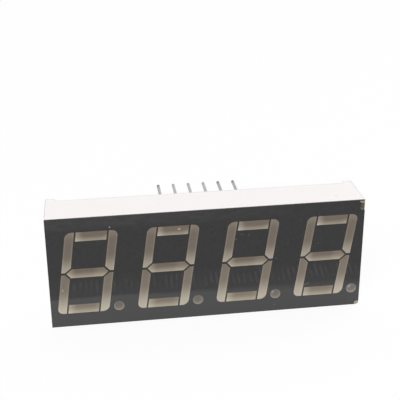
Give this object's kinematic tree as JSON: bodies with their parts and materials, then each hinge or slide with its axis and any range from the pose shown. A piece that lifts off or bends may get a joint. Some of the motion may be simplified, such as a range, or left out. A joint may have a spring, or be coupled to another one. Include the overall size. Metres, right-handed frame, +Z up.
{
  "type": "seven segment display module",
  "caption": "Flat oblong display module with a dark face, slanted seven segment digits with points, a white drafted case and two rows of pins.",
  "frame": {"origin": "bottom centre of the whole part's box, in depth midway between the face and the tips of the pins", "axes": "+X along the digits as read, +Y from the face to the pins, +Z up the digits"},
  "size_m": [0.0502, 0.0148, 0.019],
  "materials": {
    "white_housing": "satin moulded white",
    "dark_film": "charcoal, semi-gloss",
    "milky_resin": "warm grey, milky",
    "board": "tan laminate",
    "copper": "dull tan-brown copper",
    "solder": "dull grey",
    "clear_resin": "clear, slightly yellow, glossy",
    "die": "dull grey crystal",
    "gold": "bright",
    "tinned_pin": "tinned, satin"
  },
  "bodies": {
    "root": {"housing": "white_housing", "face_film": "dark_film", "digit_1_a": "milky_resin", "digit_1_b": "milky_resin", "digit_1_c": "milky_resin", "digit_1_d": "milky_resin", "digit_1_e": "milky_resin", "digit_1_f": "milky_resin", "digit_1_g": "milky_resin", "digit_1_point": "milky_resin", "digit_2_a": "milky_resin", "digit_2_b": "milky_resin", "digit_2_c": "milky_resin", "digit_2_d": "milky_resin", "digit_2_e": "milky_resin", "digit_2_f": "milky_resin", "digit_2_g": "milky_resin", "digit_2_point": "milky_resin", "digit_3_a": "milky_resin", "digit_3_b": "milky_resin", "digit_3_c": "milky_resin", "digit_3_d": "milky_resin", "digit_3_e": "milky_resin", "digit_3_f": "milky_resin", "digit_3_g": "milky_resin", "digit_3_point": "milky_resin", "digit_4_a": "milky_resin", "digit_4_b": "milky_resin", "digit_4_c": "milky_resin", "digit_4_d": "milky_resin", "digit_4_e": "milky_resin", "digit_4_f": "milky_resin", "digit_4_g": "milky_resin", "digit_4_point": "milky_resin", "circuit_board": "board", "rear_copper": "copper", "front_pads": "copper", "solder_joints": "solder", "back_resin": "clear_resin", "led_dice_1": "die", "led_dice_2": "die", "led_dice_3": "die", "led_dice_4": "die", "bond_wires_1": "gold", "bond_wires_2": "gold", "bond_wires_3": "gold", "bond_wires_4": "gold", "pin_1": "tinned_pin", "pin_2": "tinned_pin", "pin_3": "tinned_pin", "pin_4": "tinned_pin", "pin_5": "tinned_pin", "pin_6": "tinned_pin", "pin_7": "tinned_pin", "pin_8": "tinned_pin", "pin_9": "tinned_pin", "pin_10": "tinned_pin", "pin_11": "tinned_pin", "pin_12": "tinned_pin"}
  },
  "joints": []
}
